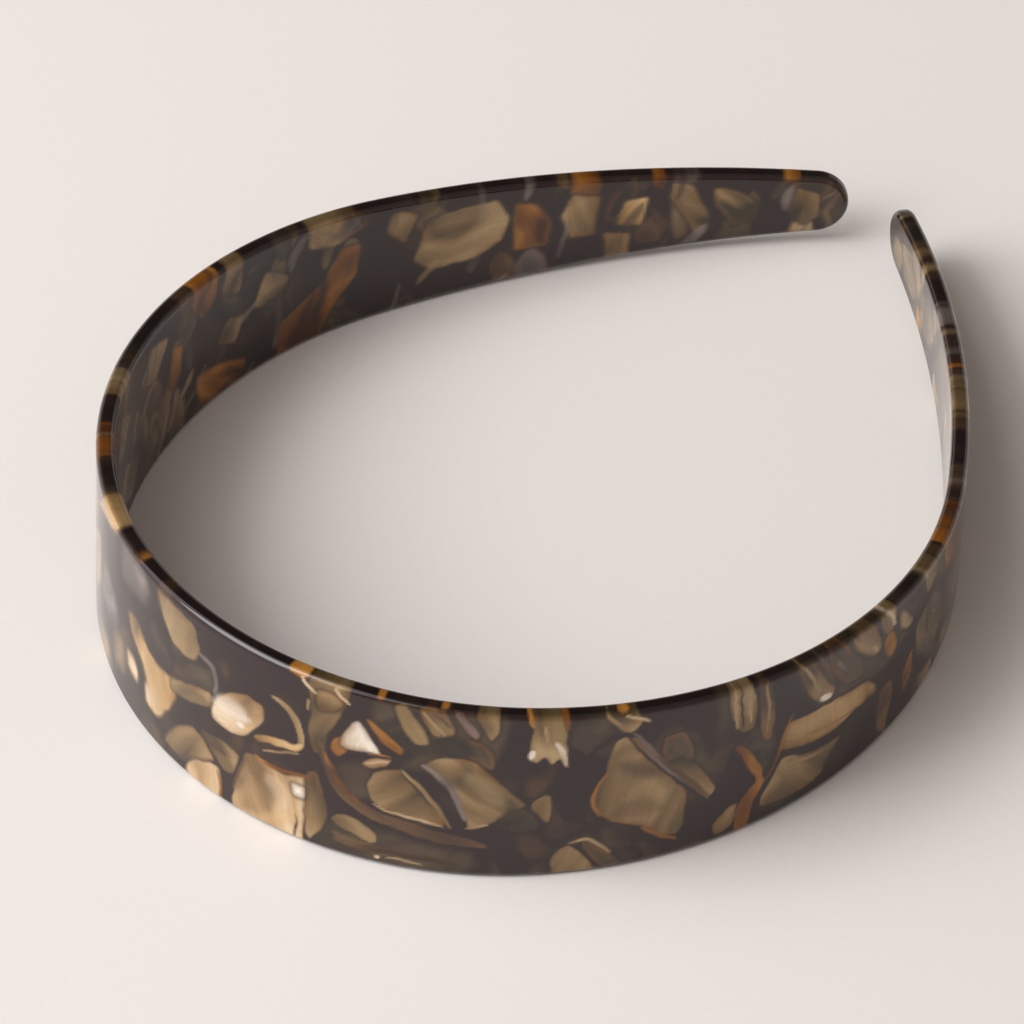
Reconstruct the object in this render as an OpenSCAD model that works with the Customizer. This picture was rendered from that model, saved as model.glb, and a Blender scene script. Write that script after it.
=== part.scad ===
// Hair band of cellulose acetate: a dark strip with pearl, cream and amber chips fused through it,
// bent edgewise into three tangent arcs on each side of the crown and standing on its long edge.
// A band opens by bending. Each side bends at two thin cuts, so the band is a crown, two arms and two tips.

/* [Band] */
// Height of the band at the crown
crown_h = 30; // [28:0.5:32]
// Thickness of the band
wall = 2.6; // [2.4:0.1:3]
// Height lost by each edge for each mm from crown to tips
edge_slope = 0.055; // [0.05:0.001:0.06]
// Distance behind the crown at which the edges start to curve in to the tips
edge_bend_y = 83; // [75:1:95]
// Radius of the edges from there to the tips
edge_bend_r = 800; // [700:10:1200]

/* [Plan] */
// Radius of the crown
crown_r = 55; // [53:0.5:58]
// Half of the angle that the crown turns through
crown_deg = 41; // [39:0.5:42]
// Radius of each arm
arm_r = 63; // [62:0.5:66]
// Angle that each arm turns through
arm_deg = 78; // [76:0.5:79]
// Radius of each tip
tip_r = 176; // [170:1:190]
// Angle that each tip turns through
tip_deg = 23; // [21:0.5:23]

/* [Bending cuts] */
// Width of the cut between two bodies of the band
cut = 0.4; // [0.35:0.05:0.5]

/* [Hidden] */

MATRIX_COLOUR = "#2b2220";
PEARL_COLOUR = "#8d7a5c";
CREAM_COLOUR = "#d9c7a0";
AMBER_COLOUR = "#b5651d";

ROUND = 360;        // facets of the band's arcs
LARGE = 400;        // longer than the band, for shapes that only cut
CHIP_DEPTH = 8;     // a chip's own depth, more than the wall
EDGE_STEPS = 12;    // straight lengths in the curved stretch of an edge
HALF = wall / 2;

// Where each arc of the right half ends, as a length along the middle of the wall and as a turned angle.
crown_end = crown_r * crown_deg * PI / 180;
arm_end = crown_end + arm_r * arm_deg * PI / 180;
band_end = arm_end + tip_r * tip_deg * PI / 180;
arm_turn = crown_deg + arm_deg;
band_turn = arm_turn + tip_deg;

// Centres of the three arcs, each on the line from the one before through the joint between them.
function outward(deg) = [sin(deg), -cos(deg)];
crown_c = [0, crown_r];
arm_c = crown_c + (crown_r - arm_r) * outward(crown_deg);
tip_c = arm_c + (arm_r - tip_r) * outward(arm_turn);

// Direction and place of the middle of the wall at length s to the right of the crown, or -s to the left.
function turn(s) =
    s < crown_end ? s / crown_r * 180 / PI :
    s < arm_end ? crown_deg + (s - crown_end) / arm_r * 180 / PI :
    arm_turn + (s - arm_end) / tip_r * 180 / PI;
function middle(s) =
    s < crown_end ? crown_c + crown_r * outward(turn(s)) :
    s < arm_end ? arm_c + arm_r * outward(turn(s)) :
    tip_c + tip_r * outward(turn(s));

// Half of the band's height at a distance y behind the crown.
function half_height(y) = crown_h / 2 - edge_slope * y - pow(max(0, y - edge_bend_y), 2) / (2 * edge_bend_r);

// The tip is a half circle as tall as the band there.
end_y = middle(band_end).y;
tip_round = half_height(end_y - crown_h / 10);

// The band leans by its own edge slope, so that its lower edge lies flat. Its box is centred over the origin.
lean = atan(edge_slope);
rise = crown_h / 2 * cos(lean);
front_y = -HALF * cos(lean) - half_height(-HALF) * sin(lean);
back_y = (end_y - HALF * cos(band_turn)) * cos(lean);
shift_y = -(front_y + back_y) / 2;

// Chip outlines as seen from outside: length along the band from the crown, right positive, and height
// above the middle of the band. Each chip goes right through the wall. Amber wins over cream, cream over pearl.
PEARL = [
    // crown
    [[-19, 13], [-14, 13.5], [-10, 10], [-11, 7], [-15, 7.5], [-18, 10]],
    [[-25, 0.5], [-20, 0], [-16, -1], [-16, -5], [-23, -3.5]],
    [[-17, 0], [-12, 1.2], [-8.5, 2.5], [-8.5, 0.5], [-12, -0.8], [-15, -1.5]],
    [[0.8, 5], [2, 8.5], [4.5, 9], [6.5, 6], [7, 2], [5, 1.6], [2.5, 2.5]],
    [[-18, -11], [-13, -7], [-9.5, -6.5], [-9, -8.5], [-11.5, -11], [-13, -13.5], [-17, -13]],
    [[-8.5, -5.5], [-4, -4.5], [-4.5, -8.5], [-6.5, -8.5]],
    [[8.3, 11], [9.6, 11.5], [10, 7], [9, 4.5], [8, 6]],
    [[11.2, 13.5], [13.2, 13], [13, 9.5], [11, 9]],
    [[11.5, 5.2], [13, 5], [14, 4], [13.5, 2.6], [11.6, 2.5]],
    [[14, 16], [17.5, 16], [17, 12], [15.2, 11.6]],
    [[19.5, 13.5], [22, 16], [24.5, 16], [27.5, 10.5], [25, 7.5], [23, 8], [22, 11]],
    [[27, 16], [29, 16], [31.5, 10.5], [30.5, 9.5]],
    [[31.5, 16], [34, 16], [34.5, 11], [33.2, 9], [32.5, 12]],
    [[23.5, 5], [27, 6.3], [30, 6.5], [34, 3], [37.3, -0.5], [33, -4.5], [30, -6], [28.5, -3], [26.5, 0.5], [24.5, 3]],
    [[37.8, -1.2], [39.8, 0.8], [41, -1], [40.5, -4.5]],
    [[16.5, 0], [18, 1.8], [21, 2.3], [23, 0.5], [25.5, -2.8], [27, -6], [24, -5.7], [18.5, -4.2], [16.5, -2]],
    [[10.2, 2], [11.4, 2], [12, -3], [13.5, -5], [18, -6.6], [25, -8], [32, -8.2], [32, -9.6], [24, -9.6],
     [18.5, -9.2], [16, -7.8], [12, -6], [10.8, -3]],
    [[12.5, -8], [14.6, -8.2], [17.4, -10.2], [16, -11], [13, -10.8]],
    [[20.5, -11.6], [24, -10.7], [30.3, -10.5], [31, -11], [29.5, -13.2], [24, -12.8]],
    [[-30, -3], [-27, -2], [-25.5, -6], [-28, -9], [-30.5, -7]],
    [[-36, 6], [-31, 8], [-28, 4], [-31, 1], [-35, 2]],
    [[-37, -9], [-33, -7.5], [-30, -11], [-33, -13], [-36, -12]],
    // right arm
    [[41, -11], [43, -9.3], [44.2, -8.8], [46, -11], [48.3, -16], [41.5, -16]],
    [[45, -7.6], [46.6, -8], [50, -12.6], [49.2, -13], [46.6, -10.2]],
    [[48.5, 9], [50.3, 9.6], [52, 7], [55.5, 2], [59, -3], [59.5, -8], [58.8, -10], [56.5, -9.2], [53, -7],
     [49, -5], [46.5, -1.5], [47, 1], [48, 4]],
    [[52.5, 9.3], [54, 9.2], [58, 5], [60.5, 2], [63.5, -3.5], [62.8, -4.8], [60.5, -3], [57, 2], [53.5, 6.5]],
    [[65.3, 9], [66, 13.2], [67.2, 13], [67, 9], [66.5, 6.2]],
    [[68, 12.5], [69, 11.5], [69.5, 8], [69, 5], [68, 8]],
    [[70.3, 10.5], [71.7, 9.6], [72.2, 4], [71.5, 1], [70.5, 2.5]],
    [[63.8, -10], [65.8, -8.5], [66, -12], [64.6, -12.2]],
    [[73.8, 0.2], [75.5, 3.2], [80, 2.4], [86, 2.2], [90, 0], [89, -1.6], [84, -3], [78, -2.2], [75, -1.2]],
    [[74, -2.4], [77, -3.6], [80, -4.4], [84, -4.6], [82, -8], [77, -10], [71.5, -10.5], [71.2, -8.5], [72.2, -6]],
    [[77.8, 11.6], [79.4, 11.4], [81, 9], [82.6, 6.4], [81.4, 5.6], [80, 6], [79.2, 9]],
    [[82, 11], [83.5, 10.8], [85.5, 7.5], [84.8, 5.6], [83.5, 8]],
    [[86, 11], [89, 10.6], [90, 8.5], [88, 4.5], [85.8, 4.5], [87, 8]],
    [[91.5, 16], [94, 16], [95.5, 8.8], [94, 8.2], [92, 9]],
    [[96, 9], [97.5, 8], [100, 5.5], [99.3, 4.8], [97, 6]],
    [[93, -1], [96, -0.5], [97, -3], [95.3, -7.4], [93.6, -8.6], [93, -6]],
    [[102, 3], [106, 5], [111, 2], [112, -3], [108, -6], [103, -3]],
    [[104, -8], [108, -8], [109, -16], [105, -16]],
    [[114, -2], [119, 1], [122, -2], [121, -6], [116, -5]],
    [[102, 16], [106, 16], [108, 8], [105, 7]],
    // right tip
    [[128, 4], [134, 6], [139, 3], [138, -2], [132, -3], [129, 0]],
    [[142, -2], [147, 2], [152, 1], [151, -4], [145, -5]],
    [[141, 16], [146, 16], [147, 4.5], [143, 5.2]],
    [[157, 5], [161, 4.6], [163, 0], [158, -2], [156, 2]],
    [[167, 2], [172, 4], [176, 2], [174, -3], [169, -2]],
    [[180, -1], [184, 2.6], [188, 1.6], [187, -2.6], [182, -3]],
    [[160, -4.5], [165, -3.5], [166, -16], [161, -16]],
    // left arm
    [[-47, 2], [-42, 4.5], [-41, -2], [-44, -6], [-48, -3]],
    [[-45, -9], [-41, -8], [-42, -12.5], [-46, -12]],
    [[-51, 8], [-46, 10.6], [-44, 7], [-49, 5]],
    [[-58, -1], [-53, 2], [-50.5, -2], [-54, -7], [-58, -5]],
    [[-68, 5], [-62, 8], [-59, 4], [-63, 1]],
    [[-72, -6], [-65, -3], [-62, -8], [-69, -10]],
    [[-82, 8], [-76, 10], [-73, 6], [-78, 3.5]],
    [[-81, -5], [-77, -2], [-75, -7], [-79, -9]],
    [[-101, 16], [-98, 16], [-96.5, 7], [-99.5, 6]],
    [[-100.5, 0.5], [-97.5, 1.5], [-95.5, -1.5], [-99, -3.5]],
    [[-122, 7.5], [-118, 16], [-113, 16], [-113.5, 6.5], [-118, 5.5]],
    [[-109, 3], [-105, 5.5], [-103, 1], [-107, -2]],
    // left tip
    [[-131, 6.5], [-128, 8], [-126.5, 5], [-129, 2.5]],
    [[-144.5, 3], [-143, 6.2], [-138, 6], [-133, 5], [-130.5, -1], [-133.5, -3.2], [-140, -2.8], [-143.5, -0.5]],
    [[-163, -3], [-160, -2.5], [-159.5, -16], [-161.5, -16]],
    [[-165.5, 2.8], [-162.5, 2.4], [-161.5, -0.6], [-164.5, -1.2]],
    [[-172.5, 4.4], [-170, 5], [-169.8, 3], [-172, -1], [-173.6, -4], [-175.4, -3.6], [-174.2, 0]],
    [[-182.5, 0.5], [-179.5, 3], [-176, 3.8], [-176, 0.8], [-178.8, -2.8], [-182, -2]],
    [[-191, 1.8], [-188.2, 2.8], [-187.2, -1.8], [-189, -3], [-191.2, -2]],
    [[-158.5, 4], [-154.8, 5], [-153, 1.5], [-154.5, -2.4], [-158.4, -2]]
];
CREAM = [
    // crown
    [[-7.5, 1], [-7, 4], [-3, 5.2], [0, 4.2], [0, 1.8], [-2, 0.6], [-5, 0.2]],
    [[-3, -3], [1, -3.2], [4, -4.2], [7, -5.2], [8.3, -5.5], [9, -10], [8.4, -16], [-3.5, -16], [-3.2, -9]],
    [[-11, -11.8], [-9, -9.6], [-6, -9.6], [-4.8, -12], [-5, -16], [-10, -16]],
    [[-22.5, -4.4], [-19.5, -3.6], [-16.5, -5.7], [-18, -9.2], [-22, -9]],
    [[6.2, 16], [9.5, 16], [10.4, 12.8], [8.6, 11.8], [7.5, 13]],
    [[15.5, 10.4], [18.8, 6.2], [18, 5.2], [15, 4.6], [13.4, 5.8]],
    [[15.2, 2.8], [18.8, 4.4], [19.8, 3.8], [17, 2.4]],
    [[38, 16], [42.7, 16], [42.6, 9], [43, 5.6], [41.6, 7], [40.6, 8.4], [39.9, 6.8], [38.6, 7.6], [38.2, 10]],
    // right arm
    [[48, 14], [50, 16], [52, 16], [52.5, 12.8], [51.5, 11.4], [50, 10.8], [48.5, 12.2]],
    [[80, 4.8], [82, 5], [83.2, 3.4], [81.2, 3.1]],
    [[90.2, 8.2], [91, 8], [92.2, 5.8], [90.8, 6.4]]
];
AMBER = [
    // crown
    [[0.5, 0.6], [6.5, 1], [8, 0.4], [7.6, -0.4], [2, -1], [0, -0.4]],
    [[1.5, -2], [4.5, -3.2], [8.4, -3.4], [8.6, -4.8], [7, -5], [4, -4], [1, -3]],
    [[16.3, 10.8], [18.2, 10], [21.6, 7], [20.8, 6], [19, 6.6]],
    [[21.8, 3.6], [22.8, 3.2], [26, -1], [28.6, -5.2], [27.8, -5.8], [24.8, -1.4]],
    [[-35, 16], [-30, 16], [-29.5, 13], [-32, 11.5], [-34.5, 13]],
    [[17.5, -13], [20, -12.6], [25, -13.6], [25, -16], [18, -16]],
    // right arm
    [[43.2, 16], [44.5, 16], [44.2, 10], [43.6, 7.5], [43.2, 9.5]],
    [[61.5, 16], [65, 16], [64, 13], [62.3, 13.2]],
    [[55, -10], [57, -10.4], [57, -12], [55.2, -11.6]],
    [[69.5, 0.6], [71.6, -0.8], [70.8, -4.8], [70.4, -8], [69.8, -16], [66.9, -16], [67, -9], [69, -6], [70, -3.4]],
    [[92.6, 7.4], [94.2, 7.2], [94, 5.4], [92.8, 5.6]],
    [[90.2, 3.6], [94.5, 4.2], [95, 3], [91, 2.2]],
    [[99, -3], [101, -1], [101.3, -5], [99.8, -7]],
    [[110, 16], [121, 16], [120, 6], [117, 4.5], [112, 5.5]],
    // right tip
    [[131, -5], [136, -4.5], [140, -16], [133, -16]],
    [[152, 16], [155, 16], [155, 3], [153, 3.4]],
    [[177, -3], [179, -2], [181, -16], [177, -16]],
    // left arm
    [[-55, 16], [-48, 16], [-47.5, 12.4], [-51, 10], [-54.5, 10.6]],
    [[-95, 16], [-90, 16], [-89, 9], [-91.5, 5.5], [-94.5, 7]],
    [[-86, 3.5], [-83.5, 4.8], [-82, 1], [-84, -2.2], [-86, -0.5]],
    [[-101, -8], [-95, -5.6], [-90, -4.6], [-90.5, -7.5], [-94, -16], [-100, -16]],
    [[-121.5, 3.8], [-119, 4.2], [-115, -1], [-108.5, -5], [-107.5, -16], [-112, -16], [-116.5, -6], [-120.5, -1]],
    // left tip
    [[-151, 1], [-149, 4.5], [-146, 5], [-145.6, 3], [-146, -3], [-150.5, -3]],
    [[-160, 16], [-156, 16], [-154.4, 5.8], [-158.2, 4.8]],
    [[-169.2, 16], [-166.4, 16], [-166.6, 5], [-168.2, 4.4]],
    [[-189, 16], [-186, 16], [-186.4, 4.6], [-188, 4.8]]
];

// Stands the band on its lower edge, over the origin.
module place() {
    translate([0, shift_y, rise]) rotate([-lean, 0, 0]) children();
}

// The band seen from the side: straight edges that converge, then edges that curve in to the tips.
module side_view() {
    stations = concat([-crown_h], [for (i = [0:EDGE_STEPS])
        edge_bend_y + (end_y + crown_h - edge_bend_y) * i / EDGE_STEPS]);
    polygon(concat(
        [for (y = stations) [y, half_height(y)]],
        [for (i = [len(stations) - 1:-1:0]) [stations[i], -half_height(stations[i])]]
    ));
}

// One arc of wall, round its centre, between two turned angles.
module arc_wall(centre, radius, from_deg, to_deg) {
    translate(concat(centre, -crown_h))
        rotate([0, 0, from_deg - 90])
            rotate_extrude(angle = to_deg - from_deg, $fn = ROUND)
                translate([radius - HALF, 0]) square([wall, 2 * crown_h]);
}

// The corners that the round end of a tip leaves out.
module tip_corners() {
    translate(concat(middle(band_end), 0)) rotate([90, 0, band_turn])
        linear_extrude(CHIP_DEPTH, center = true)
            difference() {
                translate([-tip_round, -crown_h]) square([crown_h, 2 * crown_h]);
                translate([-tip_round, 0]) circle(r = tip_round, $fn = ROUND / 2);
            }
}

module tapered() {
    intersection() {
        children();
        rotate([90, 0, 90]) linear_extrude(LARGE, center = true) side_view();
    }
}

function cut_deg(radius) = cut / 2 / radius * 180 / PI;

module crown_wall() {
    tapered() arc_wall(crown_c, crown_r, -crown_deg + cut_deg(crown_r), crown_deg - cut_deg(crown_r));
}

module arm_wall(side) {
    mirror([side < 0 ? 1 : 0, 0, 0])
        tapered() arc_wall(arm_c, arm_r, crown_deg + cut_deg(arm_r), arm_turn - cut_deg(arm_r));
}

module tip_wall(side) {
    mirror([side < 0 ? 1 : 0, 0, 0]) difference() {
        tapered() arc_wall(tip_c, tip_r, arm_turn + cut_deg(tip_r), band_turn);
        tip_corners();
    }
}

// A chip's prism stands square to the wall at the chip's middle.
module chip(outline) {
    along = [for (p = outline) p.x];
    s = (min(along) + max(along)) / 2;
    mirrored = s < 0 ? -1 : 1;
    at = middle(abs(s));
    translate([mirrored * at.x, at.y, 0]) rotate([90, 0, mirrored * turn(abs(s))])
        linear_extrude(CHIP_DEPTH, center = true)
            polygon([for (p = outline) [p.x - s, p.y]]);
}

// The chips of a list that reach between two lengths along the band.
module chips(outlines, from_s, to_s) {
    for (outline = outlines)
        if (max([for (p = outline) p.x]) > from_s && min([for (p = outline) p.x]) < to_s)
            chip(outline);
}

// What a stretch of wall holds: "matrix" is the wall without its chips, and the rest are its chips.
module filled(kind, from_s, to_s) {
    if (kind == "matrix") color(MATRIX_COLOUR) place() difference() {
        children();
        chips(concat(PEARL, CREAM, AMBER), from_s, to_s);
    }
    if (kind == "pearl") color(PEARL_COLOUR) place() difference() {
        intersection() { children(); chips(PEARL, from_s, to_s); }
        chips(concat(CREAM, AMBER), from_s, to_s);
    }
    if (kind == "cream") color(CREAM_COLOUR) place() difference() {
        intersection() { children(); chips(CREAM, from_s, to_s); }
        chips(AMBER, from_s, to_s);
    }
    if (kind == "amber") color(AMBER_COLOUR) place()
        intersection() { children(); chips(AMBER, from_s, to_s); }
}

module crown(kind) { filled(kind, -crown_end, crown_end) crown_wall(); }
module right_arm(kind) { filled(kind, crown_end, arm_end) arm_wall(1); }
module left_arm(kind) { filled(kind, -arm_end, -crown_end) arm_wall(-1); }
module right_tip(kind) { filled(kind, arm_end, band_end) tip_wall(1); }
module left_tip(kind) { filled(kind, -band_end, -arm_end) tip_wall(-1); }

crown("matrix");  // crown_matrix
crown("pearl");  // crown_pearl_chips
crown("cream");  // crown_cream_chips
crown("amber");  // crown_amber_chips
left_arm("matrix");  // left_arm_matrix
left_arm("pearl");  // left_arm_pearl_chips
left_arm("amber");  // left_arm_amber_chips
left_tip("matrix");  // left_tip_matrix
left_tip("pearl");  // left_tip_pearl_chips
left_tip("amber");  // left_tip_amber_chips
right_arm("matrix");  // right_arm_matrix
right_arm("pearl");  // right_arm_pearl_chips
right_arm("cream");  // right_arm_cream_chips
right_arm("amber");  // right_arm_amber_chips
right_tip("matrix");  // right_tip_matrix
right_tip("pearl");  // right_tip_pearl_chips
right_tip("amber");  // right_tip_amber_chips
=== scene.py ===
"""Looks of the acetate hair band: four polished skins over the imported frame, painted with chips.
Lengths along the band (s, from the crown, right positive) and heights above its middle line (z) are in mm."""

import math
import random

import bpy
import numpy as np
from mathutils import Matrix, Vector


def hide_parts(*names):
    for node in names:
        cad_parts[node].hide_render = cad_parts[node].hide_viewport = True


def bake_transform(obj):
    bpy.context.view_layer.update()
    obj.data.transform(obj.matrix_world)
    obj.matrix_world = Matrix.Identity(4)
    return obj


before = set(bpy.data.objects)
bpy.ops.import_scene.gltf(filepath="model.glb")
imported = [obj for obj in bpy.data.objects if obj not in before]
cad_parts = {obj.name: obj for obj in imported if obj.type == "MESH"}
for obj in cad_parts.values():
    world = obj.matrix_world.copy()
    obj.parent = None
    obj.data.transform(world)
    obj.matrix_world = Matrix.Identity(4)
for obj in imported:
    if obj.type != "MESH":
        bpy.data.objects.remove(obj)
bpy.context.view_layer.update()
MM = 0.001

# ---------------------------------------------------------------- the band's shape, as in part.scad
CROWN_H, WALL, SLOPE, BEND_Y, BEND_R = 30.0, 2.6, 0.055, 83.0, 800.0
ARC_R = (55.0, 63.0, 176.0)
ARC_DEG = (41.0, 78.0, 23.0)
HALF = WALL / 2
TURNS = (0.0, 41.0, 119.0, 142.0)
ENDS = np.cumsum([0.0] + [r * math.radians(a) for r, a in zip(ARC_R, ARC_DEG)])
CUT = 0.4         # width of a hinge's cut
CORNER = 1.0      # radius of the polished corners
TIP_BACK = 3.0    # how far ahead of the end the tip's radius is taken


def outward(deg):
    """The direction out of the band where it has turned by deg from the crown's middle."""
    return np.array([math.sin(math.radians(deg)), -math.cos(math.radians(deg))])


CENTRES = [np.array([0.0, ARC_R[0]])]
for i in (1, 2):
    CENTRES.append(CENTRES[-1] + (ARC_R[i - 1] - ARC_R[i]) * outward(TURNS[i]))


def arc_of(s):
    """Which of the three arcs the length s is on."""
    return 0 if s < ENDS[1] else 1 if s < ENDS[2] else 2


def turn(s):
    """How far the band has turned at s, in degrees."""
    k = arc_of(s)
    return TURNS[k] + math.degrees((s - ENDS[k]) / ARC_R[k])


def middle(s):
    """The middle of the wall at s, in plan."""
    k = arc_of(s)
    return CENTRES[k] + ARC_R[k] * outward(turn(s))


def half_height(y):
    """Half of the upright band's height at y."""
    return CROWN_H / 2 - SLOPE * y - max(0.0, y - BEND_Y) ** 2 / (2 * BEND_R)


LEAN = math.atan(SLOPE)
COS, SIN = math.cos(LEAN), math.sin(LEAN)
END_Y = middle(ENDS[3])[1]
TIP_R = half_height(END_Y - TIP_BACK)
RISE = CROWN_H / 2 * COS
FRONT = -HALF * COS - half_height(-HALF) * SIN
BACK_END = (END_Y - HALF * math.cos(math.radians(TURNS[3]))) * COS
SHIFT = -(FRONT + BACK_END) / 2


def place(p):
    """Points (x, y, z) of the upright band, in mm, as they lie in the row frame, in metres."""
    p = np.asarray(p, float)
    return np.stack([p[..., 0], p[..., 1] * COS + p[..., 2] * SIN + SHIFT,
                     -p[..., 1] * SIN + p[..., 2] * COS + RISE], -1) * MM


def unplace(p):
    """The inverse of place."""
    q = np.asarray(p, float) / MM - [0, SHIFT, RISE]
    return np.stack([q[..., 0], q[..., 1] * COS - q[..., 2] * SIN, q[..., 1] * SIN + q[..., 2] * COS], -1)


def unroll(p):
    """(s, z, distance outwards from the middle of the wall) of upright points."""
    side = np.where(p[:, 0] < 0, -1.0, 1.0)
    x, y = np.abs(p[:, 0]), p[:, 1]
    s, off = np.zeros(len(p)), np.zeros(len(p))
    todo = np.ones(len(p), bool)
    for k in range(3):
        dx, dy = x - CENTRES[k][0], y - CENTRES[k][1]
        t = np.degrees(np.arctan2(dx, -dy))
        mine = todo & ((t <= TURNS[k + 1] + 1e-6) | (k == 2))
        s[mine] = ENDS[k] + np.radians(t[mine] - TURNS[k]) * ARC_R[k]
        off[mine] = np.hypot(dx, dy)[mine] - ARC_R[k]
        todo &= ~mine
    return s * side, p[:, 2], off


# ---------------------------------------------------------------- chips, read from the frame's nodes
WELD = 2e-6         # points nearer than this, in metres, are one
OUTER_BAND = 0.08   # how far inside the outer face its points may be
EDGE_BAND = 0.12    # a chip this near to the band's edge reaches it
EDGE_PUSH = 2.0     # and runs on past it
JOIN_PUSH = 0.5     # one cut at a hinge runs on over the cut
JOIN_BAND = 0.3     # how far from a cut the ends of a chip's two parts may be


def outer_loops(obj):
    """Each chip of a node as a list of closed outlines on the outer face."""
    me = obj.data
    co = np.zeros(len(me.vertices) * 3)
    me.vertices.foreach_get("co", co)
    co = co.reshape(-1, 3)
    keys = {}
    weld = [keys.setdefault(tuple(k), len(keys)) for k in np.round(co / WELD).astype(int).tolist()]
    first = {}
    for i, w in enumerate(weld):
        first.setdefault(w, i)
    s, z, off = unroll(unplace(co))
    me.calc_loop_triangles()
    outer = off > HALF - OUTER_BAND
    tris = [[weld[v] for v in t.vertices] for t in me.loop_triangles if all(outer[v] for v in t.vertices)]
    # union-find of the triangles' corners, so that each chip is one group
    root = {}

    def find(a):
        while root.setdefault(a, a) != a:
            root[a] = root[root[a]]
            a = root[a]
        return a

    for a, b, c in tris:
        root[find(a)] = find(b)
        root[find(b)] = find(c)
    edges = {}
    for a, b, c in tris:
        for e in ((a, b), (b, c), (c, a)):
            edges[e] = edges.get(e, 0) + 1
    border = [e for e in edges if (e[1], e[0]) not in edges]
    after = {a: b for a, b in border}
    groups, seen = {}, set()
    for a, _ in border:
        if a in seen:
            continue
        loop = [a]
        seen.add(a)
        while after.get(loop[-1]) is not None and after[loop[-1]] not in seen:
            loop.append(after[loop[-1]])
            seen.add(loop[-1])
        if len(loop) > 2:
            pts = np.array([[s[first[w]], z[first[w]]] for w in loop])
            groups.setdefault(find(a), []).append(pts)
    return list(groups.values())


def pushed(pts):
    """The outline, run on past the band's long edges and over the hinge cuts."""
    out = pts.copy()
    for p, q in zip(pts, out):
        h = half_height(middle(abs(p[0]))[1])
        if abs(p[1]) > h - EDGE_BAND:
            q[1] += math.copysign(EDGE_PUSH, p[1])
        for e in ENDS[1:3]:
            gap = abs(p[0]) - e
            if abs(gap) < CUT:
                q[0] += math.copysign(JOIN_PUSH, gap * p[0])
    return out


class Chip:
    """One chip of the frame, on the unrolled band."""


random.seed(11)
chips = []
for node, obj in sorted(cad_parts.items()):
    if not node.endswith("_chips"):
        continue
    for loops in outer_loops(obj):
        c = Chip()
        c.kind = node.split("_")[-2]
        raw = np.concatenate(loops)
        c.loops = [pushed(p) for p in loops]
        c.lo, c.hi = raw.min(0), raw.max(0)
        c.centre = (c.lo + c.hi) / 2
        spread = raw - raw.mean(0)
        _, _, axes = np.linalg.svd(spread, full_matrices=False)
        c.along = axes[0] if axes[0][1] >= 0 else -axes[0]
        c.key = (round(float(c.centre[0]), 1), round(float(c.centre[1]), 1), c.kind)
        chips.append(c)
chips.sort(key=lambda c: c.key)
for c in chips:
    c.tone, c.bend = random.uniform(-1, 1), random.uniform(-0.5, 0.5)
    a = math.atan2(c.along[1], c.along[0]) + c.bend
    c.dir = np.array([math.cos(a), math.sin(a)])
    c.seed = random.uniform(0, 100)
for e in ENDS[1:3]:     # the two parts of a chip that a hinge cuts look alike
    for side in (-1, 1):
        ends = [sorted((side * c.lo[0], side * c.hi[0])) for c in chips]
        inner = [c for c, (near, far) in zip(chips, ends) if abs(far - (e - CUT / 2)) < JOIN_BAND]
        outer = [c for c, (near, far) in zip(chips, ends) if abs(near - (e + CUT / 2)) < JOIN_BAND]
        for a in inner:
            for b in outer:
                if a.kind == b.kind and a.lo[1] < b.hi[1] and b.lo[1] < a.hi[1]:
                    for name in ("tone", "dir", "seed", "centre"):
                        setattr(b, name, getattr(a, name))


def segment_distance(p, a, b):
    ab = b - a
    t = np.clip(((p - a) @ ab) / max(ab @ ab, 1e-12), 0, 1)
    return np.linalg.norm(p - (a + t[:, None] * ab), axis=1)


def depth_in(p, loops):
    """Distance inside the outlines, negative outside."""
    d = np.full(len(p), 1e9)
    odd = np.zeros(len(p), bool)
    for loop in loops:
        for a, b in zip(loop, np.roll(loop, -1, 0)):
            d = np.minimum(d, segment_distance(p, a, b))
            crosses = (a[1] > p[:, 1]) != (b[1] > p[:, 1])
            if crosses.any() and a[1] != b[1]:
                x = a[0] + (p[:, 1] - a[1]) / (b[1] - a[1]) * (b[0] - a[0])
                odd ^= crosses & (p[:, 0] < x)
    return np.where(odd, d, -d)


# ---------------------------------------------------------------- painting the acetate
# Base colours of the acetate's kinds: dark end, middle and light end.
TINTS = {
    "dark": ((0.013, 0.0065, 0.0065), (0.020, 0.0080, 0.0085), (0.030, 0.018, 0.014)),
    "ghost": ((0.018, 0.011, 0.008), (0.038, 0.024, 0.014), (0.085, 0.055, 0.030)),
    "lilac": ((0.060, 0.045, 0.040), (0.130, 0.098, 0.088), (0.270, 0.215, 0.195)),
    "brown": ((0.030, 0.015, 0.007), (0.085, 0.042, 0.018), (0.180, 0.092, 0.038)),
    "olive": ((0.040, 0.026, 0.010), (0.176, 0.105, 0.040), (0.330, 0.218, 0.100)),
    "tan": ((0.080, 0.045, 0.016), (0.260, 0.165, 0.066), (0.460, 0.320, 0.160)),
    "gold": ((0.120, 0.058, 0.015), (0.430, 0.250, 0.090), (0.660, 0.440, 0.210)),
    "cream": ((0.190, 0.105, 0.040), (0.520, 0.340, 0.170), (0.760, 0.590, 0.400)),
    "white": ((0.340, 0.240, 0.150), (0.660, 0.540, 0.400), (0.880, 0.800, 0.700)),
    "amber": ((0.060, 0.016, 0.002), (0.210, 0.070, 0.004), (0.400, 0.170, 0.028)),
}
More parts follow.
